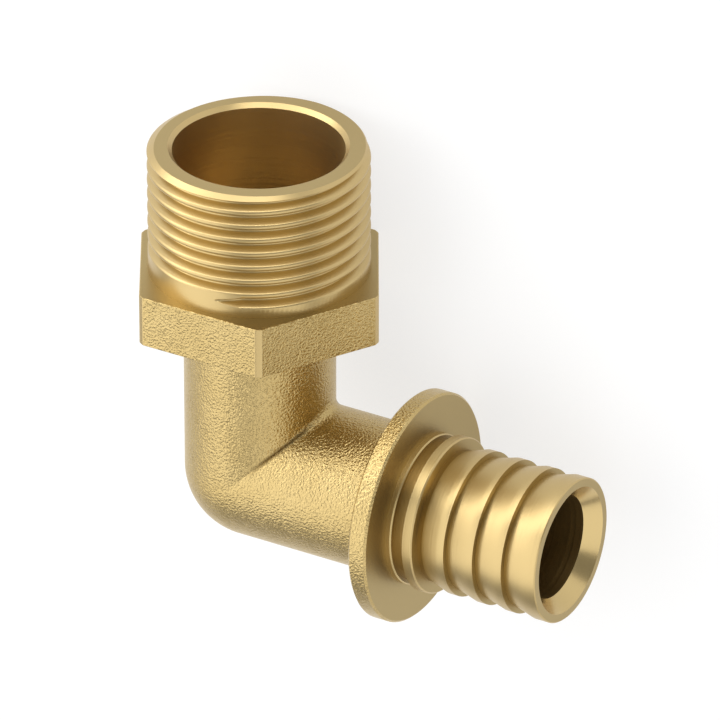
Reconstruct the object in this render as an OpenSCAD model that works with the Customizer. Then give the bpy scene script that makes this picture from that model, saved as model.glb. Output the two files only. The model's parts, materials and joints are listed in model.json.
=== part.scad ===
// Forged brass press elbow: a male pipe thread with a spanner hexagon at one end,
// a ball-shaped right-angle bend, and a ribbed press spigot behind a stop flange.
// The thread points along +Y and the spigot along +X. The fitting lies on one flat
// of its hexagon and on the rim of its flange. The origin is on the thread's axis,
// at the machined face of the hexagon.

/* [Bend and necks] */
// Outside diameter of the neck under the hexagon, the ball of the bend and the arm
neck_d = 18; // [16.4:0.1:22]
// Diameter of the waterway that is drilled through both arms
waterway_d = 12.6; // [8:0.1:13.4]
// Radius that blends the inner corner of the bend
crease_r = 1.45; // [0.6:0.05:2.6]

/* [Hexagon] */
// Width of the hexagon across its flats
hex_af = 28; // [26.6:0.1:32]
// Diameter to which the six corners are turned down
hex_corner_d = 31.9; // [29:0.1:36]
// Height of the hexagon along the thread's axis
hex_h = 6.35; // [4:0.05:10]
// Distance from the arm's axis to the underside of the hexagon
hex_offset = 20.35; // [15:0.05:28]

/* [Male thread] */
// Crest diameter of the 3/4 inch parallel pipe thread
thread_d = 26.2; // [26.1:0.01:26.44]
// Length of the turned stub from the hexagon to its end face
thread_l = 15.8; // [12:0.05:24]
// Chamfer on the outer edge of the stub's end
thread_lead = 0.6; // [0.2:0.05:1]
// Diameter of the wide bore inside the thread
thread_bore_d = 20.3; // [17:0.1:21]
// Depth of the wide bore from the end face
thread_bore_l = 16.5; // [13:0.1:18]
// Chamfer on the mouth of the wide bore
thread_bore_lead = 0.5; // [0.1:0.05:0.9]
// Point angle of the drill that leaves the cone between the two bores
drill_point = 118; // [90:1:140]

/* [Stop flange] */
// Diameter of the flange at its arm side
flange_d = 28; // [24:0.1:34]
// Distance from the thread's axis to the arm side of the flange
flange_offset = 19.95; // [16:0.05:26]
// Thickness of the flange
flange_t = 2.35; // [1.5:0.05:5]
// Rounding of the flange's two rim edges
flange_edge = 0.25; // [0.1:0.05:0.6]

/* [Press spigot] */
// Diameter over the ribs that grip the pipe
rib_d = 17.6; // [16.4:0.05:20]
// Number of saw-tooth ribs, with the land at the free end as the last
rib_count = 4; // [3:1:6]
// Distance from one rib to the next
rib_pitch = 3.85; // [2.8:0.01:5]
// Radial height of each rib's step
rib_step = 0.75; // [0.4:0.05:1.3]
// Length of the straight land on the crest of each rib
rib_land = 1.1; // [0.5:0.05:1.8]
// Length of the first rib's ramp, which is shorter than the others
first_ramp_l = 2.2; // [1:0.05:4]
// Length of the straight land at the free end
end_land = 1.75; // [1:0.05:4]
// Width of the relief between the stop ring and the first rib
relief_w = 0.6; // [0.3:0.05:2]
// Diameter of the ring beside the flange
seat_ring_d = 18.4; // [17.6:0.05:20]
// Width of the ring beside the flange
seat_ring_w = 0.7; // [0.3:0.05:1.2]
// Width of the groove between the two rings
ring_groove_w = 1.7; // [0.6:0.05:2.5]
// Diameter at the floor of the groove between the two rings
ring_groove_d = 17.2; // [16:0.05:17.5]
// Diameter of the second ring, which the pipe's end comes up against
stop_ring_d = 19; // [17.6:0.05:21]
// Width of the second ring
stop_ring_w = 1.25; // [0.8:0.05:2.5]
// Radial width of the flat end face
end_face_w = 1.05; // [0.6:0.05:1.7]
// Length of the countersink in the mouth of the spigot
mouth_l = 1.8; // [0.8:0.05:3]
// Edge break on the outer edge of the free end
end_break = 0.12; // [0.05:0.01:0.3]

/* [Hidden] */
$fn = 96;
neck_r = neck_d / 2;
waterway_r = waterway_d / 2;
thread_r = thread_d / 2;
thread_bore_r = thread_bore_d / 2;
flange_r = flange_d / 2;
rib_r = rib_d / 2;
rib_root_r = rib_r - rib_step;
hex_top = hex_offset + hex_h;
thread_end = hex_top + thread_l;
flange_face = flange_offset + flange_t;
seat_ring_end = flange_face + seat_ring_w;
stop_ring_start = seat_ring_end + ring_groove_w;
stop_ring_end = stop_ring_start + stop_ring_w;
ribs_start = stop_ring_end + relief_w;
first_rib_end = ribs_start + first_ramp_l + rib_land;
ramp_l = rib_pitch - rib_land;
last_rib_start = first_rib_end + (rib_count - 2) * rib_pitch;
spigot_end = last_rib_start + ramp_l + end_land;
mouth_r = rib_r - end_face_w;
// The cone that a twist drill leaves where it stops
drill_cone_l = (thread_bore_r - waterway_r) / tan(drill_point / 2);
// How far the blend starts below the surfaces that it joins
crease_sink = 0.05;
// Radius of the bent rod that makes the blend, thinner than the necks so it fades out at the sides
crease_rod_r = 0.72 * neck_r;

// Turns a shape drawn along +Z so that it lies along the thread's axis, +Y
module on_thread_axis() {
    rotate([-90, 0, 0]) children();
}

// Turns a shape drawn along +Z so that it lies along the arm's axis, +X
module on_arm_axis() {
    rotate([0, 90, 0]) children();
}

// The ball of the bend with both necks, which share one diameter
module bend() {
    sphere(r = neck_r);
    on_thread_axis() cylinder(r = neck_r, h = hex_offset + hex_h / 2);
    on_arm_axis() cylinder(r = neck_r, h = flange_offset + flange_t / 2);
    crease_blend();
}

// A bent rod that fills the inner corner where the two necks meet
module crease_blend() {
    corner = neck_r + crease_r - crease_sink;
    translate([corner, corner, 0])
        rotate([0, 0, 180])
            rotate_extrude(angle = 90)
                translate([crease_r + crease_rod_r, 0]) circle(r = crease_rod_r);
}

// The spanner hexagon, with two flats parallel to the plane of the bend
module hexagon() {
    translate([0, hex_offset, 0])
        on_thread_axis() intersection() {
            cylinder(d = hex_af / cos(30), h = hex_h, $fn = 6);
            cylinder(d = hex_corner_d, h = hex_h);
        }
}

// The turned stub at crest diameter, with the chamfer that starts the thread
module thread_stub() {
    on_thread_axis() rotate_extrude()
        polygon([
            [0, hex_top - hex_h / 2],
            [thread_r, hex_top - hex_h / 2],
            [thread_r, thread_end - thread_lead],
            [thread_r - thread_lead, thread_end],
            [0, thread_end]
        ]);
}

// The stop flange that the sliding sleeve comes up against
module flange() {
    on_arm_axis() rotate_extrude()
        polygon([
            [0, flange_offset],
            [flange_r - flange_edge, flange_offset],
            [flange_r, flange_offset + flange_edge],
            [flange_r, flange_face - flange_edge],
            [flange_r - flange_edge, flange_face],
            [0, flange_face]
        ]);
}

// Points of one rib: its root, the end of its ramp, and the end of its land
function rib_points(start, ramp, land) = [
    [rib_root_r, start],
    [rib_r, start + ramp],
    [rib_r, start + ramp + land]
];

// The press spigot, turned in one profile from the flange to its free end
module spigot() {
    on_arm_axis() rotate_extrude()
        polygon(concat(
            [
                [0, flange_face - flange_t / 2],
                [seat_ring_d / 2, flange_face - flange_t / 2],
                [seat_ring_d / 2, seat_ring_end],
                [ring_groove_d / 2, seat_ring_end],
                [ring_groove_d / 2, stop_ring_start],
                [stop_ring_d / 2, stop_ring_start],
                [stop_ring_d / 2, stop_ring_end],
                [rib_root_r, stop_ring_end]
            ],
            rib_points(ribs_start, first_ramp_l, rib_land),
            [
                for (i = [0 : 1 : rib_count - 3])
                    each rib_points(first_rib_end + i * rib_pitch, ramp_l, rib_land)
            ],
            rib_points(last_rib_start, ramp_l, end_land - end_break),
            [
                [rib_r - end_break, spigot_end],
                [0, spigot_end]
            ]
        ));
}

// The wide bore in the thread, down to the cone that its drill leaves
module thread_bore() {
    mouth = thread_bore_r + thread_bore_lead;
    floor_y = thread_end - thread_bore_l;
    on_thread_axis() rotate_extrude()
        polygon([
            [0, 0],
            [waterway_r, 0],
            [waterway_r, floor_y - drill_cone_l],
            [thread_bore_r, floor_y],
            [thread_bore_r, thread_end - thread_bore_lead],
            [mouth, thread_end],
            [mouth, thread_end + 1],
            [0, thread_end + 1]
        ]);
}

// The waterway through the arm, with the countersink in the spigot's mouth
module arm_bore() {
    sphere(r = waterway_r);
    on_arm_axis() rotate_extrude()
        polygon([
            [0, 0],
            [waterway_r, 0],
            [waterway_r, spigot_end - mouth_l],
            [mouth_r, spigot_end],
            [mouth_r, spigot_end + 1],
            [0, spigot_end + 1]
        ]);
}

// The whole fitting, forged as one piece and then turned and drilled
module elbow() {
    color("#D9BD7B") translate([0, -hex_top, 0]) difference() {
        union() {
            bend();
            hexagon();
            thread_stub();
            flange();
            spigot();
        }
        thread_bore();
        arm_bore();
    }
}

elbow();
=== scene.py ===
"""A brass press elbow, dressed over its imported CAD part.

The fitting is forged in one piece and then turned, threaded and drilled, so it is
modelled as one closed mesh. The forged skin, the turned faces and the drilled bores
each have a finish of their own.

All lengths in the classes are in millimetres, in the frame of the CAD part: the
thread's axis is Y, the spigot's axis is parallel to X, and the origin lies on the
thread's axis at the machined face of the hexagon.
"""

import json
import logging
import math
from contextlib import contextmanager
from dataclasses import dataclass, field
from enum import Enum
from typing import Any, Callable, Iterator, Sequence

import bmesh
import bpy
from mathutils import Matrix, Vector

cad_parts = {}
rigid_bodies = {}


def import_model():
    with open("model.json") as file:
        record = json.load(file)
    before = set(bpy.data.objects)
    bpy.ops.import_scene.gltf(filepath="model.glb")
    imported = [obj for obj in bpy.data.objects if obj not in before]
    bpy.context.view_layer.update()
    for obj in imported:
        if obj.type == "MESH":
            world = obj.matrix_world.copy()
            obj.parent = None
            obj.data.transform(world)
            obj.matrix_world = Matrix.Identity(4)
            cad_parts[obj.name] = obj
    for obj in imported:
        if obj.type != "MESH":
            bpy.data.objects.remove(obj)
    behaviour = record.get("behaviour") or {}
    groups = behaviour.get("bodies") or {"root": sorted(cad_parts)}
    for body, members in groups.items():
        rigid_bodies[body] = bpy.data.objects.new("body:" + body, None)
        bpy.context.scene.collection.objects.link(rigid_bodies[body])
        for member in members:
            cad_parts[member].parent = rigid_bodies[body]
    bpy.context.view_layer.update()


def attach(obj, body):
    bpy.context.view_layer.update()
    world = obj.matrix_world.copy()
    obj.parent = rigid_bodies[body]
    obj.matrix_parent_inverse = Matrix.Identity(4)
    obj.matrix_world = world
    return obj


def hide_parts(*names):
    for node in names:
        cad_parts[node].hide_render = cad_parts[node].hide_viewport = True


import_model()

LOG = logging.getLogger("elbow")
MM = 0.001
# Faces round a full turn
SEGMENTS = 144
# Vertices nearer than this are one, in metres
MERGE = 1e-6
# Edges that turn by more than this stay sharp, in degrees
SHARP_FROM = 20.0
# A face looks along an axis when this much of its normal does
FLAT = 0.99
# How near a point has to be to count as on a station, in millimetres
ON = 1e-3
# How far past the metal a cutting tool reaches, in millimetres
OVERSHOOT = 1.0

# The colour sockets of a Mix node: its two inputs and its result
MIX_A, MIX_B, MIX_RESULT = 6, 7, 2

Point = tuple[float, float]
Test = Callable[[Vector], bool]


class Axis(Enum):
    """The two axes that the lathe work of the fitting turns about."""

    THREAD = Vector((0.0, 1.0, 0.0))
    ARM = Vector((1.0, 0.0, 0.0))

    @property
    def turn(self) -> tuple[float, float, float]:
        """Rotation that lays a shape drawn along Z on this axis."""
        return (-math.pi / 2, 0.0, 0.0) if self is Axis.THREAD else (0.0, math.pi / 2, 0.0)

    @property
    def across(self) -> Vector:
        """Ones in the two directions across this axis, and zero along it."""
        return Vector((1.0, 1.0, 1.0)) - self.value


class Join(Enum):
    """What a boolean does with its tool."""

    ADD = "UNION"
    CUT = "DIFFERENCE"


class Finish(Enum):
    """The finishes of the fitting, in the order of its material slots."""

    FORGED = 0
    THREAD_TURNED = 1
    ARM_TURNED = 2
    THREAD_DRILLED = 3
    # The waterway, the two faced finishes and the grooves carry painted shade in their colour
    WATERWAY_DRILLED_SHADED = 4
    THREAD_FACED_SHADED = 5
    ARM_FACED_SHADED = 6
    ARM_GROOVED_SHADED = 7
    ARM_REAMED = 8


# Working with meshes as by hand


def clear_selection() -> None:
    """Deselects every object, since an operator acts on all that is selected."""
    if bpy.context.object and bpy.context.object.mode != "OBJECT":
        bpy.ops.object.mode_set(mode="OBJECT")
    bpy.ops.object.select_all(action="DESELECT")


def take(piece: bpy.types.Object) -> None:
    """Makes one object the only selected one, and the active one.

    Args:
        piece: The object to work on.
    """
    clear_selection()
    piece.select_set(True)
    bpy.context.view_layer.objects.active = piece


@contextmanager
def editing(piece: bpy.types.Object) -> Iterator[None]:
    """Opens edit mode on one object, with nothing selected in its mesh.

    Args:
        piece: The object to edit.
    """
    take(piece)
    bpy.ops.object.mode_set(mode="EDIT")
    bpy.ops.mesh.select_all(action="DESELECT")
    yield
    bpy.ops.object.mode_set(mode="OBJECT")


def pick(mode: str, test: Test, where: str = "centre") -> None:
    """Selects parts of the mesh that is being edited, by their place.

    Args:
        mode: VERT, EDGE or FACE.
        test: Says of a point, in millimetres, whether it is wanted.
        where: "centre" tests the middle of an edge or face, "all" each of its corners.
    """
    bpy.ops.mesh.select_mode(type=mode)
    bpy.ops.mesh.select_all(action="DESELECT")
    mesh = bmesh.from_edit_mesh(bpy.context.object.data)
    parts = {"VERT": mesh.verts, "EDGE": mesh.edges, "FACE": mesh.faces}[mode]
    for part in parts:
        corners = [part.co] if mode == "VERT" else [corner.co for corner in part.verts]
        if where == "centre":
            corners = [sum(corners, Vector()) / len(corners)]
        if all(test(corner / MM) for corner in corners):
            part.select_set(True)
    mesh.select_flush_mode()
    bmesh.update_edit_mesh(bpy.context.object.data)


def close_mesh() -> None:
    """Merges doubles and turns every face outwards, in the mesh that is being edited."""
    bpy.ops.mesh.select_all(action="SELECT")
    bpy.ops.mesh.remove_doubles(threshold=MERGE)
    bpy.ops.mesh.normals_make_consistent(inside=False)
    bpy.ops.mesh.select_all(action="DESELECT")


def place_in_mesh(piece: bpy.types.Object) -> None:
    """Puts an object's place into its mesh, so the object sits at the origin."""
    take(piece)
    bpy.ops.object.transform_apply(location=True, rotation=True, scale=True)


def combine(piece: bpy.types.Object, tool: bpy.types.Object, how: Join) -> None:
    """Runs a boolean on a piece, and deletes the tool.

    Args:
        piece: The closed mesh that is changed.
        tool: The closed mesh that is added or cut away.
        how: What is done with the tool.
    """
    take(piece)
    modifier = piece.modifiers.new(how.name, "BOOLEAN")
    modifier.operation = how.value
    modifier.solver = "EXACT"
    modifier.object = tool
    bpy.ops.object.modifier_apply(modifier=modifier.name)
    bpy.data.objects.remove(tool, do_unlink=True)


def grow_rings(axis: Axis, base: Vector, start: Point, profile: Sequence[Point]) -> None:
    """Extrudes the selected ring of edges through a profile, ring by ring.

    Args:
        axis: The axis of the rings.
        base: Any point of that axis.
        start: Radius and station of the selected ring.
        profile: Radius and station of each new ring, where the station is measured
            along the axis from base.
    """
    radius, station = start
    for new_radius, new_station in profile:
        step = axis.value * (new_station - station) * MM
        bpy.ops.mesh.extrude_edges_move(TRANSFORM_OT_translate={"value": step})
        factor = new_radius / radius
        bpy.ops.transform.resize(
            value=axis.across * factor + axis.value,
            center_override=(base + axis.value * new_station) * MM,
        )
        radius, station = new_radius, new_station


def cap_ring() -> None:
    """Closes the selected ring of edges with one face."""
    bpy.ops.mesh.edge_face_add()


# The shape of the fitting


@dataclass(frozen=True)
class Layout:
    """Where the two axes cross, and the stations that several sub-assemblies share."""

    crossing: Vector = field(default_factory=lambda: Vector((0.0, -26.7, 0.0)))
    hexagon_height: float = 6.35
    thread_end: float = 15.8
    flange_back: float = 19.95
    flange_front: float = 22.3
    spigot_end: float = 42.05
    waterway_radius: float = 6.3

    def from_crossing(self, station: float) -> float:
        """Turns a Y coordinate into a station along the thread's axis from the crossing.

        Args:
            station: The Y coordinate, in millimetres.

        Returns:
            The distance from the crossing.
        """
        return station - self.crossing.y

    def on_mitre(self, point: Vector) -> bool:
        """Says whether a point is on the plane that both necks meet in, on its inner side.

        Args:
            point: The point, in millimetres.

        Returns:
            True on the inner half of the plane.
        """
        return abs(point.x - point.y + self.crossing.y) < ON and point.x > ON


@dataclass
class MitredBend:
    """A right-angle bend of one radius: two round necks that meet at a ball."""

    layout: Layout
    radius: float
    neck_end: float
    arm_end: float
    name: str

    def _neck(self, axis: Axis, other: Axis, end: float) -> bpy.types.Object:
        """Adds one neck and trims it where it meets the other neck and the ball.

        Args:
            axis: The axis of this neck.
            other: The axis of the other neck.
            end: The station of this neck's open end, from the crossing.

        Returns:
            The trimmed open tube.
        """
        clear_selection()
        middle = self.layout.crossing + axis.value * (end - self.radius) / 2
        bpy.ops.mesh.primitive_cylinder_add(
            vertices=SEGMENTS,
            radius=self.radius * MM,
            depth=(end + self.radius) * MM,
            end_fill_type="NOTHING",
            location=middle * MM,
            rotation=axis.turn,
        )
        neck = bpy.context.object
        neck.name = f"{self.name}_{axis.name.lower()}"
        place_in_mesh(neck)
        crossing = self.layout.crossing * MM
        with editing(neck):
            for normal in (axis.value - other.value, axis.value):
                bpy.ops.mesh.select_all(action="SELECT")
                bpy.ops.mesh.bisect(
                    plane_co=crossing, plane_no=normal, clear_inner=True, threshold=1e-8
                )
        return neck

    def build(self) -> bpy.types.Object:
        """Joins both necks and spins the ball between them.

        Returns:
            A tube with two open ends.
        """
        neck = self._neck(Axis.THREAD, Axis.ARM, self.neck_end)
        arm = self._neck(Axis.ARM, Axis.THREAD, self.arm_end)
        take(neck)
        arm.select_set(True)
        bpy.ops.object.join()
        neck.name = self.name
        level = self.layout.crossing.y
        with editing(neck):
            bpy.ops.mesh.select_all(action="SELECT")
            bpy.ops.mesh.remove_doubles(threshold=MERGE)
            pick("EDGE", lambda p: abs(p.y - level) < ON and p.x < ON, where="all")
            bpy.ops.mesh.spin(
                steps=SEGMENTS // 4,
                angle=-math.pi / 2,
                center=self.layout.crossing * MM,
                axis=(0.0, 0.0, 1.0),
            )
            close_mesh()
        return neck


@dataclass
class HexagonSizes:
    """Sizes of the spanner hexagon."""

    across_flats: float = 28.0
    corner_radius: float = 15.95
    edge_round: float = 0.12


@dataclass
class SpannerHexagon:
    """The spanner hexagon between the neck and the thread, with its corners turned down."""

    layout: Layout
    sizes: HexagonSizes = field(default_factory=HexagonSizes)

    def build(self) -> bpy.types.Object:
        """Adds the six-sided prism, cuts its corners back and softens its edges.

        Returns:
            The closed hexagon.
        """
        clear_selection()
        sizes = self.sizes
        height = self.layout.hexagon_height
        sharp_radius = sizes.across_flats / 2 / math.cos(math.pi / 6)
        bpy.ops.mesh.primitive_cylinder_add(
            vertices=6,
            radius=sharp_radius * MM,
            depth=height * MM,
            location=Vector((0.0, -height / 2, 0.0)) * MM,
            rotation=(-math.pi / 2, math.pi / 6, 0.0),
        )
        hexagon = bpy.context.object
        hexagon.name = "hexagon"
        place_in_mesh(hexagon)
        corner_cut = (sharp_radius - sizes.corner_radius) / math.cos(math.pi / 3)
        with editing(hexagon):
            # The middles of the six upright edges are the only ones at half height
            pick("EDGE", lambda p: abs(p.y + height / 2) < ON)
            bpy.ops.mesh.bevel(offset=corner_cut * MM, segments=1)
            bpy.ops.mesh.select_all(action="SELECT")
            bpy.ops.mesh.bevel(offset=sizes.edge_round * MM, segments=2, profile=0.5)
            close_mesh()
        return hexagon


@dataclass
class ThreadSizes:
    """Sizes of the male 3/4 inch parallel pipe thread: 14 turns to the inch, 55 degrees."""

    crest_radius: float = 13.1
    pitch: float = 25.4 / 14
    flank_angle: float = 27.5
    # Radius of the rounded crests and roots, as a share of the pitch
    crest_round: float = 0.2
    root_round: float = 0.12
    arc_steps: int = 6
    crest_arc_end: float = 84.0
    # Where the groove begins above the hexagon, and over how many steps it runs out there
    start_angle: float = -83.5
    start_height: float = 1.86
    runout_steps: int = 6
    runout_gap: float = 0.03

    def depth(self) -> float:
        """Depth that the two roundings leave of the sharp vee.

        Returns:
            The distance from crest to root.
        """
        flank = math.radians(self.flank_angle)
        sharp = 1 / (2 * math.tan(flank))
        lost = (1 / math.sin(flank) - 1) * (self.crest_round + self.root_round)
        return (sharp - lost) * self.pitch


@dataclass
class ThreadGroove:
    """The helical groove of the thread, as the tool that cuts it."""

    layout: Layout
    sizes: ThreadSizes

    def _section(self) -> list[Point]:
        """Section of the groove: radius and height of its corners, from the top down.

        Returns:
            The corners of a wedge with a rounded root, which leaves rounded crests.
        """
        sizes = self.sizes
        flank = math.radians(sizes.flank_angle)
        root = sizes.root_round * sizes.pitch
        root_centre = sizes.crest_radius - sizes.depth() + root
        crest = sizes.crest_round * sizes.pitch
        crest_centre = sizes.crest_radius - crest
        steps = sizes.arc_steps
        half: list[Point] = []
        for step in range(steps + 1):
            angle = (math.pi / 2 - flank) * step / steps
            half.append((root_centre - root * math.cos(angle), root * math.sin(angle)))
        # The crest's arc ends just before its top, so that neighbouring turns stay apart
        last = math.radians(sizes.crest_arc_end)
        for step in range(steps + 1):
            angle = flank + (last - flank) * step / steps
            half.append(
                (
                    crest_centre + crest * math.sin(angle),
                    sizes.pitch / 2 - crest * math.cos(angle),
                )
            )
        half.append((sizes.crest_radius + OVERSHOOT, half[-1][1]))
        upper = list(reversed(half))
        lower = [(radius, -height) for radius, height in half[1:]]
        return upper + lower

    def build(self) -> bpy.types.Object:
        """Draws the section, winds it up the thread and lets it run out at the bottom.

        Returns:
            The closed helical tool.
        """
        sizes = self.sizes
        clear_selection()
        bpy.ops.mesh.primitive_plane_add(size=MM)
        groove = bpy.context.object
        groove.name = "groove"
        section = self._section()
        with editing(groove):
            bpy.ops.mesh.select_mode(type="VERT")
            bpy.ops.mesh.select_all(action="SELECT")
            bpy.ops.mesh.merge(type="CENTER")
            first = Vector((section[0][0], section[0][1] + sizes.start_height, 0.0))
            bpy.ops.transform.translate(value=first * MM)
            here = first
            for radius, height in section[1:]:
                there = Vector((radius, height + sizes.start_height, 0.0))
                bpy.ops.mesh.extrude_vertices_move(
                    TRANSFORM_OT_translate={"value": (there - here) * MM}
                )
                here = there
            bpy.ops.mesh.select_all(action="SELECT")
            bpy.ops.mesh.edge_face_add()
            bpy.ops.mesh.delete(type="ONLY_FACE")
        turns = math.ceil((self.layout.thread_end - sizes.start_height) / sizes.pitch) + 1
        take(groove)
        screw = groove.modifiers.new("wind", "SCREW")
        screw.axis = "Y"
        screw.angle = math.tau
        screw.screw_offset = sizes.pitch * MM
        screw.iterations = turns
        screw.steps = screw.render_steps = SEGMENTS
        screw.use_merge_vertices = False
        bpy.ops.object.modifier_apply(modifier=screw.name)
        groove.rotation_euler.y = math.radians(sizes.start_angle)
        place_in_mesh(groove)
        self._run_out(groove, len(section))
        return groove

    def _run_out(self, groove: bpy.types.Object, corners: int) -> None:
        """Draws the tool back over the last steps of the groove, and closes its ends.

        Args:
            groove: The helical tool, whose vertices follow one another section by section.
            corners: The number of corners in each section.
        """
        sizes = self.sizes
        root = sizes.crest_radius - sizes.depth()
        clear = sizes.crest_radius + sizes.runout_gap
        with editing(groove):
            bpy.ops.mesh.select_mode(type="VERT")
            for step in range(sizes.runout_steps):
                bpy.ops.mesh.select_all(action="DESELECT")
                mesh = bmesh.from_edit_mesh(groove.data)
                mesh.verts.ensure_lookup_table()
                for index in range(step * corners, (step + 1) * corners):
                    mesh.verts[index].select_set(True)
                bmesh.update_edit_mesh(groove.data)
                share = step / sizes.runout_steps
                factor = (clear + (root - clear) * share) / root
                bpy.ops.transform.resize(
                    value=(factor, 1.0, factor), center_override=(0.0, 0.0, 0.0)
                )
            bpy.ops.mesh.select_all(action="SELECT")
            bpy.ops.mesh.fill_holes(sides=0)
            close_mesh()


@dataclass
class StubSizes:
    """Sizes of the turned stub that carries the thread, and of its bore."""

    # The station inside the hexagon from which the stub grows
    inside_hexagon: float = -3.0
    lead: float = 0.6
    bore_radius: float = 10.15
    bore_depth: float = 16.5
    bore_lead: float = 0.5
    drill_point: float = 118.0

    def cone(self, waterway_radius: float) -> float:
        """Length of the cone that the wide bore's drill leaves.

        Args:
            waterway_radius: The radius at the small end of the cone.

        Returns:
            The length along the axis.
        """
        slope = math.tan(math.radians(self.drill_point / 2))
        return (self.bore_radius - waterway_radius) / slope


@dataclass
class SpigotSizes:
    """Sizes of the stop flange and of the press spigot in front of it."""

    flange_radius: float = 14.0
    flange_edge: float = 0.25
    # Radius of each ring and of the groove between them, and the station of its far side
    seat_ring: Point = (9.2, 23.0)
    ring_groove: Point = (8.6, 24.7)
    stop_ring: Point = (9.5, 25.95)
    # Edge break on the two rings, which is left out of the solid
    ring_break: float = 0.15
    rib_radius: float = 8.8
    rib_step: float = 0.75
    ribs_start: float = 26.55
    first_ramp: float = 2.2
    rib_pitch: float = 3.85
    rib_land: float = 1.1
    rib_count: int = 4
    end_break: float = 0.12
    end_face: float = 1.05
    mouth_depth: float = 1.8

    @property
    def mouth(self) -> float:
        """Radius of the countersink at the free end."""
        return self.rib_radius - self.end_face

    def profile(self, layout: Layout) -> list[Point]:
        """Radius and station of every corner from the flange's back to the free end.

        Args:
            layout: The stations that the sub-assemblies share.

        Returns:
            The corners, in order along the arm.
        """
        back, front, end = layout.flange_back, layout.flange_front, layout.spigot_end
        rim, edge = self.flange_radius, self.flange_edge
        root = self.rib_radius - self.rib_step
        corners: list[Point] = [
            (rim - edge, back),
            (rim, back + edge),
            (rim, front - edge),
            (rim - edge, front),
            (self.seat_ring[0], front),
            (self.seat_ring[0], self.seat_ring[1] - self.ring_break),
            (self.seat_ring[0] - self.ring_break, self.seat_ring[1]),
            (self.ring_groove[0], self.seat_ring[1]),
            self.ring_groove,
            (self.stop_ring[0], self.ring_groove[1]),
            (self.stop_ring[0], self.stop_ring[1] - self.ring_break),
            (self.stop_ring[0] - self.ring_break, self.stop_ring[1]),
            (root, self.stop_ring[1]),
            (root, self.ribs_start),
        ]
        crest = self.ribs_start + self.first_ramp
        for _ in range(self.rib_count - 1):
            corners.append((self.rib_radius, crest))
            corners.append((self.rib_radius, crest + self.rib_land))
            corners.append((root, crest + self.rib_land))
            crest += self.rib_pitch
        corners.append((self.rib_radius, crest))
        corners.append((self.rib_radius, end - self.end_break))
        corners.append((self.rib_radius - self.end_break, end))
        return corners


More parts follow.
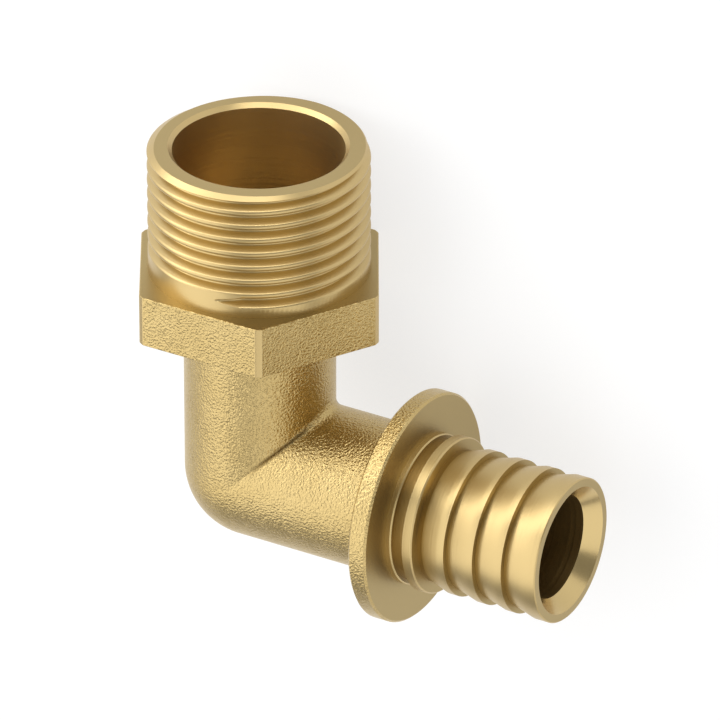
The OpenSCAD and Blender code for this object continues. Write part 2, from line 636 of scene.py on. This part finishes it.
@dataclass
class PressElbow:
    """The whole fitting: the forging, its turned ends, its thread and its waterway."""

    layout: Layout = field(default_factory=Layout)
    hexagon: HexagonSizes = field(default_factory=HexagonSizes)
    thread: ThreadSizes = field(default_factory=ThreadSizes)
    stub: StubSizes = field(default_factory=StubSizes)
    spigot: SpigotSizes = field(default_factory=SpigotSizes)
    neck_radius: float = 9.0
    # Rounding in the middle of the inner corner, and how far out it reaches, as a share of
    # the neck's radius. Past crown_from, in millimetres, the corner is a plain sharp mitre.
    crease_round: float = 1.45
    crease_reach: float = 0.68
    crease_steps: int = 10
    crown_from: float = 6.0

    def _body(self) -> bpy.types.Object:
        """Makes the bend with both turned ends, from rings that grow out of its necks.

        Returns:
            The closed body, without the hexagon.
        """
        layout = self.layout
        neck_end = layout.from_crossing(self.stub.inside_hexagon)
        body = MitredBend(layout, self.neck_radius, neck_end, layout.flange_back, "body").build()
        self._ease_crease(body)
        crest = self.thread.crest_radius
        end = layout.from_crossing(layout.thread_end)
        stub = [(crest, neck_end), (crest, end - self.stub.lead), (crest - self.stub.lead, end)]
        with editing(body):
            pick("EDGE", lambda p: abs(p.x - layout.flange_back) < ON, where="all")
            grow_rings(
                Axis.ARM,
                layout.crossing,
                (self.neck_radius, layout.flange_back),
                self.spigot.profile(layout),
            )
            cap_ring()
            pick("EDGE", lambda p: abs(p.y - self.stub.inside_hexagon) < ON, where="all")
            grow_rings(Axis.THREAD, layout.crossing, (self.neck_radius, neck_end), stub)
            cap_ring()
            close_mesh()
        return body

    def _ease_crease(self, body: bpy.types.Object) -> None:
        """Rounds the inner corner of the bend, less and less towards its two sides.

        Args:
            body: The open bend.
        """
        reach = self.crease_reach * self.neck_radius
        weights = body.data.attributes.new("bevel_weight_edge", "FLOAT", "EDGE")
        for edge in body.data.edges:
            ends = [body.data.vertices[index].co / MM for index in edge.vertices]
            middle = abs(ends[0].z + ends[1].z) / 2
            if all(self.layout.on_mitre(end) for end in ends) and middle < reach:
                weights.data[edge.index].value = 1.0 - (middle / reach) ** 2
        take(body)
        bevel = body.modifiers.new("crease", "BEVEL")
        bevel.limit_method = "WEIGHT"
        bevel.width = self.crease_round * MM
        bevel.segments = self.crease_steps
        bpy.ops.object.modifier_apply(modifier=bevel.name)

    def _waterway(self) -> bpy.types.Object:
        """Makes the drilled waterway, with the wide bore and the countersink at its ends.

        Returns:
            The closed tool that is cut out of the body.
        """
        layout, stub, mouth = self.layout, self.stub, self.spigot.mouth
        radius = layout.waterway_radius
        end = layout.from_crossing(layout.thread_end)
        floor = end - stub.bore_depth
        neck_end = floor - stub.cone(radius)
        arm_end = layout.spigot_end - self.spigot.mouth_depth
        lead = stub.bore_radius + stub.bore_lead
        tool = MitredBend(layout, radius, neck_end, arm_end, "waterway").build()
        with editing(tool):
            pick("EDGE", lambda p: abs(p.x - arm_end) < ON, where="all")
            grow_rings(
                Axis.ARM,
                layout.crossing,
                (radius, arm_end),
                [(mouth, layout.spigot_end), (mouth, layout.spigot_end + OVERSHOOT)],
            )
            cap_ring()
            level = layout.crossing.y + neck_end
            pick("EDGE", lambda p: abs(p.y - level) < ON, where="all")
            grow_rings(
                Axis.THREAD,
                layout.crossing,
                (radius, neck_end),
                [
                    (stub.bore_radius, floor),
                    (stub.bore_radius, end - stub.bore_lead),
                    (lead, end),
                    (lead, end + OVERSHOOT),
                ],
            )
            cap_ring()
            close_mesh()
        return tool

    def build(self) -> bpy.types.Object:
        """Joins the forging, cuts the waterway and the thread, and shades the result.

        Returns:
            The finished mesh.
        """
        body = self._body()
        LOG.info("body: %d faces", len(body.data.polygons))
        combine(body, SpannerHexagon(self.layout, self.hexagon).build(), Join.ADD)
        combine(body, self._waterway(), Join.CUT)
        combine(body, ThreadGroove(self.layout, self.thread).build(), Join.CUT)
        body.name = "elbow_body"
        body.data.name = "elbow_body"
        with editing(body):
            close_mesh()
        take(body)
        bpy.ops.object.shade_smooth_by_angle(angle=math.radians(SHARP_FROM))
        crown = self.crown_from
        # Where the mitre nears the crown its angle is slight, but the necks are still cylinders
        with editing(body):
            pick("EDGE", lambda p: self.layout.on_mitre(p) and abs(p.z) > crown, where="all")
            bpy.ops.mesh.mark_sharp()
        # Large faces keep their own direction, so rounded crests don't tilt the shank's shading
        even = body.modifiers.new("even_shading", "WEIGHTED_NORMAL")
        even.keep_sharp = True
        bpy.ops.object.modifier_apply(modifier=even.name)
        LOG.info("elbow: %d faces", len(body.data.polygons))
        return body


# The finishes


def linear(hex_colour: str) -> tuple[float, float, float, float]:
    """Turns an sRGB hex colour into the linear values that Blender works in.

    Args:
        hex_colour: Six hex digits, with or without a leading #.

    Returns:
        Red, green, blue and alpha.
    """
    digits = hex_colour.lstrip("#")
    parts = [int(digits[i : i + 2], 16) / 255 for i in (0, 2, 4)]
    red, green, blue = [p / 12.92 if p <= 0.04045 else ((p + 0.055) / 1.055) ** 2.4 for p in parts]
    return (red, green, blue, 1.0)


def per_mm(size: float) -> float:
    """Gives the texture scale at which a pattern repeats every so many millimetres.

    Args:
        size: The size of one repeat, in millimetres.

    Returns:
        Repeats per metre.
    """
    return 1.0 / (size * MM)


def add_node(
    tree: bpy.types.NodeTree,
    kind: str,
    settings: dict[str | int, Any] | None = None,
    links: dict[str | int, bpy.types.NodeSocket] | None = None,
) -> bpy.types.Node:
    """Adds one node with its settings and its incoming links.

    Args:
        tree: The node tree.
        kind: The node's type name.
        settings: Values by a property of the node, or by the name or number of an input.
        links: Output sockets by the name or number of the input that they feed.

    Returns:
        The new node.
    """
    node = tree.nodes.new(kind)
    for key, value in (settings or {}).items():
        if isinstance(key, str) and hasattr(node, key):
            setattr(node, key, value)
        else:
            node.inputs[key].default_value = value
    for key, source in (links or {}).items():
        tree.links.new(source, node.inputs[key])
    return node


def new_tree(name: str) -> tuple[bpy.types.Material, bpy.types.NodeTree]:
    """Makes an empty material.

    Args:
        name: The material's name.

    Returns:
        The material and its node tree.
    """
    material = bpy.data.materials.new(name)
    material.use_nodes = True
    material.node_tree.nodes.clear()
    return material, material.node_tree


def from_crossing(tree: bpy.types.NodeTree, place: bpy.types.NodeSocket) -> bpy.types.NodeSocket:
    """Measures places from the crossing of the two axes.

    Args:
        tree: The material's node tree.
        place: The Object coordinates.

    Returns:
        The same places, with the crossing at zero.
    """
    return add_node(
        tree,
        "ShaderNodeVectorMath",
        {"operation": "SUBTRACT", 1: Layout().crossing * MM},
        {0: place},
    ).outputs["Vector"]


@dataclass(frozen=True)
class ForgedBrass:
    """Brass as it leaves the forging die and the blasting cabinet.

    The die's skin and the shot leave a fine, even grain, which breaks every highlight
    into small glints and keeps the surface from mirroring anything. Broad, faint
    patches of a deeper tone are left by the scale that the blasting takes off. A thin
    dark brown line along the inner corner of the bend is painted shade.
    """

    colour: str = "#CCB47D"
    dark_colour: str = "#BAA169"
    roughness: float = 0.31
    # Width of the dents that the shot leaves, and their depth
    grain: float = 0.27
    grain_height: float = 0.13
    patch: float = 5.0
    # Painted shade in the inner corner of the bend: where it comes in, going out of the plane
    # of the bend, and where it comes in going away from the crown, each from none to full
    crease_shade_colour: str = "#6E5730"
    crease_shade_width: float = 0.5
    crease_shade_sides: Point = (2.8, 4.2)
    crease_shade_crown: Point = (2.6, 5.4)

    def _crease_shade(
        self, tree: bpy.types.NodeTree, place: bpy.types.NodeSocket
    ) -> bpy.types.NodeSocket:
        """Marks the thin line of painted shade in the inner corner of the bend.

        Args:
            tree: The material's node tree.
            place: The Object coordinates.

        Returns:
            The share of painted shade, from 0 to 1.
        """
        offset = from_crossing(tree, place)
        off_mitre = add_node(
            tree,
            "ShaderNodeVectorMath",
            {"operation": "DOT_PRODUCT", 1: (math.sqrt(0.5), -math.sqrt(0.5), 0.0)},
            {0: offset},
        )
        parts = add_node(tree, "ShaderNodeSeparateXYZ", links={0: offset})
        off_line, off_plane = (
            add_node(tree, "ShaderNodeMath", {"operation": "ABSOLUTE"}, {0: source}).outputs[0]
            for source in (off_mitre.outputs["Value"], parts.outputs["Z"])
        )
        share: bpy.types.NodeSocket | None = None
        for distance, (none, full) in (
            (off_line, (self.crease_shade_width, 0.0)),
            (off_plane, self.crease_shade_sides),
            (parts.outputs["X"], self.crease_shade_crown),
        ):
            ramp = add_node(
                tree,
                "ShaderNodeMapRange",
                {"interpolation_type": "SMOOTHSTEP", "From Min": none * MM, "From Max": full * MM},
                {"Value": distance},
            ).outputs["Result"]
            if share is not None:
                ramp = add_node(
                    tree, "ShaderNodeMath", {"operation": "MULTIPLY"}, {0: share, 1: ramp}
                ).outputs["Value"]
            share = ramp
        return share

    def make(self) -> bpy.types.Material:
        """Builds the material.

        Returns:
            The material for the forged skin.
        """
        material, tree = new_tree("forged_brass")
        place = add_node(tree, "ShaderNodeTexCoord").outputs["Object"]
        grain = add_node(
            tree,
            "ShaderNodeTexNoise",
            {"Scale": per_mm(self.grain), "Detail": 1.0, "Roughness": 0.5},
            {"Vector": place},
        )
        patches = add_node(
            tree,
            "ShaderNodeTexNoise",
            {"Scale": per_mm(self.patch), "Detail": 2.0, "Roughness": 0.5},
            {"Vector": place},
        )
        bump = add_node(
            tree,
            "ShaderNodeBump",
            {"Strength": 1.0, "Distance": self.grain_height * MM},
            {"Height": grain.outputs["Fac"]},
        )
        skin = add_node(
            tree,
            "ShaderNodeMix",
            {
                "data_type": "RGBA",
                MIX_A: linear(self.dark_colour),
                MIX_B: linear(self.colour),
            },
            {"Factor": patches.outputs["Fac"]},
        )
        # Painted shade: a dark brown line along the inner corner of the bend
        tone = add_node(
            tree,
            "ShaderNodeMix",
            {"data_type": "RGBA", MIX_B: linear(self.crease_shade_colour)},
            {"Factor": self._crease_shade(tree, place), MIX_A: skin.outputs[MIX_RESULT]},
        )
        shader = add_node(
            tree,
            "ShaderNodeBsdfPrincipled",
            {"Metallic": 1.0, "Roughness": self.roughness},
            {"Base Color": tone.outputs[MIX_RESULT], "Normal": bump.outputs["Normal"]},
        )
        add_node(tree, "ShaderNodeOutputMaterial", links={"Surface": shader.outputs["BSDF"]})
        return material


@dataclass(frozen=True)
class TurnedBrass:
    """Brass cut on a lathe or with a drill.

    The tool's feed leaves rings about the axis, nearly too fine to see one by one.
    They spread a highlight across the rings and give the surface its satin look.
    """

    axis: Axis
    name: str
    colour: str = "#C5AD79"
    roughness: float = 0.35
    # The real feed is about 0.1 mm a turn, too fine to show, so the rings are drawn coarser
    ring_pitch: float = 0.3
    ring_height: float = 0.004

    def make(self) -> bpy.types.Material:
        """Builds the material.

        Returns:
            The material for the faces cut about this axis.
        """
        material, tree = new_tree(self.name)
        place = add_node(tree, "ShaderNodeTexCoord").outputs["Object"]
        offset = from_crossing(tree, place)
        along = add_node(
            tree,
            "ShaderNodeVectorMath",
            {"operation": "DOT_PRODUCT", 1: self.axis.value},
            {0: offset},
        )
        across = add_node(
            tree,
            "ShaderNodeVectorMath",
            {"operation": "MULTIPLY", 1: self.axis.across},
            {0: offset},
        )
        radius = add_node(
            tree, "ShaderNodeVectorMath", {"operation": "LENGTH"}, {0: across.outputs["Vector"]}
        )
        # The sum changes both along a cylinder and across a flat face, so both get rings
        station = add_node(
            tree,
            "ShaderNodeMath",
            {"operation": "ADD"},
            {0: along.outputs["Value"], 1: radius.outputs["Value"]},
        )
        rings = add_node(
            tree,
            "ShaderNodeTexNoise",
            {
                "noise_dimensions": "1D",
                "Scale": per_mm(self.ring_pitch),
                "Detail": 2.0,
                "Roughness": 0.6,
            },
            {"W": station.outputs["Value"]},
        )
        bump = add_node(
            tree,
            "ShaderNodeBump",
            {"Strength": 1.0, "Distance": self.ring_height * MM},
            {"Height": rings.outputs["Fac"]},
        )
        shader = add_node(
            tree,
            "ShaderNodeBsdfPrincipled",
            {"Metallic": 1.0, "Roughness": self.roughness, "Base Color": linear(self.colour)},
            {"Normal": bump.outputs["Normal"]},
        )
        add_node(tree, "ShaderNodeOutputMaterial", links={"Surface": shader.outputs["BSDF"]})
        return material


# The studio


@dataclass(frozen=True)
class Softbox:
    """An area lamp that faces the middle of the fitting, upright on the floor's Z axis.

    Its distance, width and height are in metres. Its radiance is what the metal shows of
    it, where 1 is the white of the floor.
    """

    name: str
    direction: tuple[float, float, float]
    distance: float
    width: float
    height: float
    radiance: float

    def place(self, target: Vector) -> None:
        """Adds the lamp.

        Args:
            target: The point that the lamp faces, in metres.
        """
        lamp = bpy.data.lights.new(self.name, "AREA")
        lamp.shape = "RECTANGLE"
        lamp.size = self.width
        lamp.size_y = self.height
        lamp.energy = self.radiance * math.pi * self.width * self.height
        thing = bpy.data.objects.new(self.name, lamp)
        bpy.context.scene.collection.objects.link(thing)
        away = Vector(self.direction).normalized()
        thing.location = target + away * self.distance
        thing.rotation_euler = away.to_track_quat("Z", "Y").to_euler()


@dataclass
class Studio:
    """The floor, the light and the camera."""

    layout: Layout = field(default_factory=Layout)
    world_level: float = 0.33
    # The floor's height and the gap that keeps it off the fitting, and its width in metres
    floor_level: float = -14.0
    floor_gap: float = 0.01
    floor_width: float = 6.0
    # The floor's grey, which takes the shadow, and the glow that lifts it to white
    floor_paint: float = 0.3
    floor_lift: float = 0.72
    # Sensor and lens, and the camera's place from the crossing: to its right, up and back
    sensor: float = 36.0
    focal_length: float = 482.1
    camera_place: tuple[float, float, float] = (11.80, 11.906, 1144.5)
    back: Vector = field(default_factory=lambda: Vector((0.43383, 0.49402, 0.75349)))
    right: Vector = field(default_factory=lambda: Vector((0.86662, 0.0, -0.49897)))
    # The point that the lamps face, near the middle of the fitting
    middle: Vector = field(default_factory=lambda: Vector((13.0, -12.0, 0.0)))
    # The front and the halo light the sides that the camera sees, and the halo softens the
    # front's edges. The left and the right light the flanks, and the head the upper sides.
    boxes: tuple[Softbox, ...] = (
        Softbox("front", (-0.60, -0.08, 0.80), 1.0, 1.5, 1.2, 0.95),
        Softbox("halo", (-0.60, 0.02, 0.80), 1.05, 2.1, 1.9, 0.42),
        Softbox("left", (-0.90, 0.30, 0.30), 0.8, 0.5, 0.5, 1.3),
        Softbox("head", (-0.26, 0.93, 0.29), 0.8, 1.45, 0.52, 2.6),
        Softbox("right", (0.67, -0.42, 0.60), 0.9, 1.5, 0.9, 0.95),
    )

    def camera(self) -> None:
        """Puts the camera where the photograph was taken from."""
        data = bpy.data.cameras.new("camera")
        data.sensor_width = self.sensor
        data.lens = self.focal_length
        data.clip_start = 0.01
        data.clip_end = 20.0
        thing = bpy.data.objects.new("camera", data)
        bpy.context.scene.collection.objects.link(thing)
        turn = Matrix((self.right, self.back.cross(self.right), self.back)).transposed()
        place = self.layout.crossing + turn @ Vector(self.camera_place)
        thing.matrix_world = Matrix.Translation(place * MM) @ turn.to_4x4()
        bpy.context.scene.camera = thing

    def _floor_paint(self) -> bpy.types.Material:
        """Makes the floor's paint: white to the eye and to the metal, with soft shadows.

        Returns:
            The material for the floor.
        """
        material, tree = new_tree("white_floor")
        grey = self.floor_paint
        paint = add_node(tree, "ShaderNodeBsdfDiffuse", {"Color": (grey, grey, grey, 1.0)})
        path = add_node(tree, "ShaderNodeLightPath")
        seen = path.outputs["Is Camera Ray"]
        for ray in ("Is Glossy Ray", "Is Transmission Ray"):
            seen = add_node(
                tree,
                "ShaderNodeMath",
                {"operation": "ADD", "use_clamp": True},
                {0: path.outputs[ray], 1: seen},
            ).outputs["Value"]
        lift = add_node(
            tree, "ShaderNodeMath", {"operation": "MULTIPLY", 1: self.floor_lift}, {0: seen}
        )
        glow = add_node(
            tree,
            "ShaderNodeEmission",
            {"Color": (1.0, 1.0, 1.0, 1.0)},
            {"Strength": lift.outputs["Value"]},
        )
        both = add_node(
            tree, "ShaderNodeAddShader", links={0: paint.outputs[0], 1: glow.outputs[0]}
        )
        add_node(tree, "ShaderNodeOutputMaterial", links={"Surface": both.outputs[0]})
        return material

    def floor(self) -> None:
        """Lays a plain white floor under the fitting."""
        clear_selection()
        bpy.ops.mesh.primitive_plane_add(
            size=self.floor_width,
            location=(0.0, 0.0, (self.floor_level - self.floor_gap) * MM),
        )
        thing = bpy.context.object
        thing.name = "floor"
        place_in_mesh(thing)
        thing.data.materials.append(self._floor_paint())

    def light(self) -> None:
        """Sets the world and the softboxes."""
        world = bpy.data.worlds.new("studio")
        bpy.context.scene.world = world
        world.use_nodes = True
        background = world.node_tree.nodes["Background"]
        background.inputs["Color"].default_value = (1.0, 1.0, 1.0, 1.0)
        background.inputs["Strength"].default_value = self.world_level
        for box in self.boxes:
            box.place(self.middle * MM)

    def build(self) -> None:
        """Makes the whole studio."""
        self.camera()
        self.floor()
        self.light()
        bpy.context.scene.view_settings.view_transform = "Standard"


def report(piece: bpy.types.Object) -> None:
    """Logs a piece's size and whether its mesh is closed.

    Args:
        piece: The object to measure.
    """
    mesh = bmesh.new()
    mesh.from_mesh(piece.data)
    open_edges = sum(1 for edge in mesh.edges if not edge.is_manifold)
    low = [round(min(v.co[i] for v in mesh.verts) / MM, 3) for i in range(3)]
    high = [round(max(v.co[i] for v in mesh.verts) / MM, 3) for i in range(3)]
    triangles = sum(len(face.verts) - 2 for face in mesh.faces)
    volume = mesh.calc_volume() / MM**3
    mesh.free()
    LOG.info(
        "%s: %s to %s mm, %d triangles, %d open edges, %.0f mm3",
        piece.name, low, high, triangles, open_edges, volume,
    )


@dataclass
class FinishMap:
    """Says which finish the making left at each place of the fitting, some of them with painted
    shade in their colour.
    """

    layout: Layout = field(default_factory=Layout)
    hexagon: HexagonSizes = field(default_factory=HexagonSizes)
    stub: StubSizes = field(default_factory=StubSizes)
    spigot: SpigotSizes = field(default_factory=SpigotSizes)
    # How far past a bore's true radius a place may be and still be on its wall
    slack: float = 0.05

    def _at_thread(self, middle: Vector, normal: Vector) -> Finish:
        """Chooses the finish of a face above the hexagon, or on its machined face.

        Args:
            middle: The middle of the face, in millimetres.
            normal: The direction that the face looks in.

        Returns:
            The finish of that face.
        """
        if normal.y > FLAT:
            return Finish.THREAD_FACED_SHADED
        within = math.hypot(middle.x, middle.z) < self.stub.bore_radius + self.slack
        below_lead = middle.y < self.layout.thread_end - self.stub.bore_lead
        return Finish.THREAD_DRILLED if within and below_lead else Finish.THREAD_TURNED

    def _at_spigot(self, middle: Vector, normal: Vector) -> Finish:
        """Chooses the finish of a face in front of the flange, or on its front.

        Args:
            middle: The middle of the face, in millimetres.
            normal: The direction that the face looks in.

        Returns:
            The finish of that face.
        """
        layout, spigot = self.layout, self.spigot
        if normal.x > FLAT:
            return Finish.ARM_FACED_SHADED
        about_arm = math.hypot(middle.y - layout.crossing.y, middle.z)
        if middle.x > layout.spigot_end - spigot.mouth_depth and about_arm < spigot.mouth:
            return Finish.ARM_REAMED
        if about_arm < layout.waterway_radius + self.slack:
            return Finish.WATERWAY_DRILLED_SHADED
        in_groove = spigot.seat_ring[1] + ON < middle.x < spigot.ring_groove[1] - ON
        in_relief = spigot.stop_ring[1] + ON < middle.x < spigot.ribs_start
        return Finish.ARM_GROOVED_SHADED if in_groove or in_relief else Finish.ARM_TURNED

    def _in_bore(self, middle: Vector) -> Finish | None:
        """Chooses the finish of a face on the wall of the waterway.

        Args:
            middle: The middle of the face, in millimetres.

        Returns:
            The finish of that face, or None if it isn't on the wall.
        """
        layout, stub = self.layout, self.stub
        about_thread = math.hypot(middle.x, middle.z)
        about_arm = math.hypot(middle.y - layout.crossing.y, middle.z)
        cone_end = layout.thread_end - stub.bore_depth - stub.cone(layout.waterway_radius)
        if about_thread < stub.bore_radius + self.slack and middle.y > cone_end:
            return Finish.THREAD_DRILLED
        wall = layout.waterway_radius + self.slack
        in_arm = middle.x > 0 and about_arm < wall
        in_neck = middle.y > layout.crossing.y and about_thread < wall
        in_ball = (middle - layout.crossing).length < wall
        return Finish.WATERWAY_DRILLED_SHADED if in_arm or in_neck or in_ball else None

    def at(self, middle: Vector, normal: Vector) -> Finish:
        """Chooses the finish of one face.

        Args:
            middle: The middle of the face, in millimetres.
            normal: The direction that the face looks in.

        Returns:
            The finish of that face.
        """
        layout, hexagon = self.layout, self.hexagon
        if middle.y > -ON:
            return self._at_thread(middle, normal)
        if middle.x > layout.flange_front - ON:
            return self._at_spigot(middle, normal)
        # The middle of a ring-shaped face is inside the waterway, so these two come first
        under_hexagon = normal.y < -FLAT and abs(middle.y + layout.hexagon_height) < ON
        behind_flange = normal.x < -FLAT and abs(middle.x - layout.flange_back) < ON
        if under_hexagon or behind_flange:
            return Finish.FORGED
        drilled = self._in_bore(middle)
        if drilled is not None:
            return drilled
        on_corner = hexagon.corner_radius - 4 * hexagon.edge_round < math.hypot(middle.x, middle.z)
        if on_corner and middle.y > -layout.hexagon_height:
            return Finish.THREAD_TURNED
        return Finish.FORGED


def make_finishes() -> dict[Finish, bpy.types.Material]:
    """Makes the material of every finish.

    Returns:
        The materials by their finish.
    """
    return {
        Finish.FORGED: ForgedBrass().make(),
        # The lathe's last cut: satin, its highlight drawn out across the rings
        Finish.THREAD_TURNED: TurnedBrass(Axis.THREAD, "turned_brass_thread").make(),
        Finish.ARM_TURNED: TurnedBrass(
            Axis.ARM, "turned_brass_spigot", roughness=0.38, ring_height=0.014
        ).make(),
        # A drill leaves coarser rings and a duller surface. The waterway's darker, browner colour
        # is painted shade deep in the bore
        Finish.THREAD_DRILLED: TurnedBrass(
            Axis.THREAD, "drilled_brass", "#CBAF79", 0.42, 0.5, 0.03
        ).make(),
        Finish.WATERWAY_DRILLED_SHADED: TurnedBrass(
            Axis.ARM, "shaded_drilled_brass", "#A48A58", 0.45, 0.5, 0.03
        ).make(),
        # A faced surface is cut by a broad tool, which leaves it matt. Its deeper tone is painted
        # shade on the flat end faces
        Finish.THREAD_FACED_SHADED: TurnedBrass(
            Axis.THREAD, "faced_shaded_brass_thread", "#AE9968", 0.4, 0.4, 0.006
        ).make(),
        Finish.ARM_FACED_SHADED: TurnedBrass(
            Axis.ARM, "faced_shaded_brass_spigot", "#AE9968", 0.4, 0.4, 0.006
        ).make(),
        # The narrow grooves beside the flange are browned with painted shade
        Finish.ARM_GROOVED_SHADED: TurnedBrass(
            Axis.ARM, "shaded_groove_brass_spigot", "#A68A55", 0.34, 0.3, 0.01
        ).make(),
        # The countersink is reamed, so it is the smoothest and brightest surface
        Finish.ARM_REAMED: TurnedBrass(
            Axis.ARM, "reamed_brass_spigot", "#CAB27D", 0.24, 0.3, 0.002
        ).make(),
    }


def dress(elbow: bpy.types.Object) -> None:
    """Gives each face of the fitting the finish that its making left on it, with painted shade in
    the colour of some finishes.

    Args:
        elbow: The finished mesh.
    """
    materials = make_finishes()
    for finish in Finish:
        elbow.data.materials.append(materials[finish])
    places = FinishMap()
    for face in elbow.data.polygons:
        face.material_index = places.at(face.center / MM, face.normal).value


def main() -> None:
    """Builds the fitting and its studio."""
    elbow = PressElbow().build()
    report(elbow)
    dress(elbow)
    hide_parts("elbow")
    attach(elbow, "root")
    Studio().build()


if __name__ == "__main__":
    logging.basicConfig(level=logging.INFO, format="%(message)s")
    main()
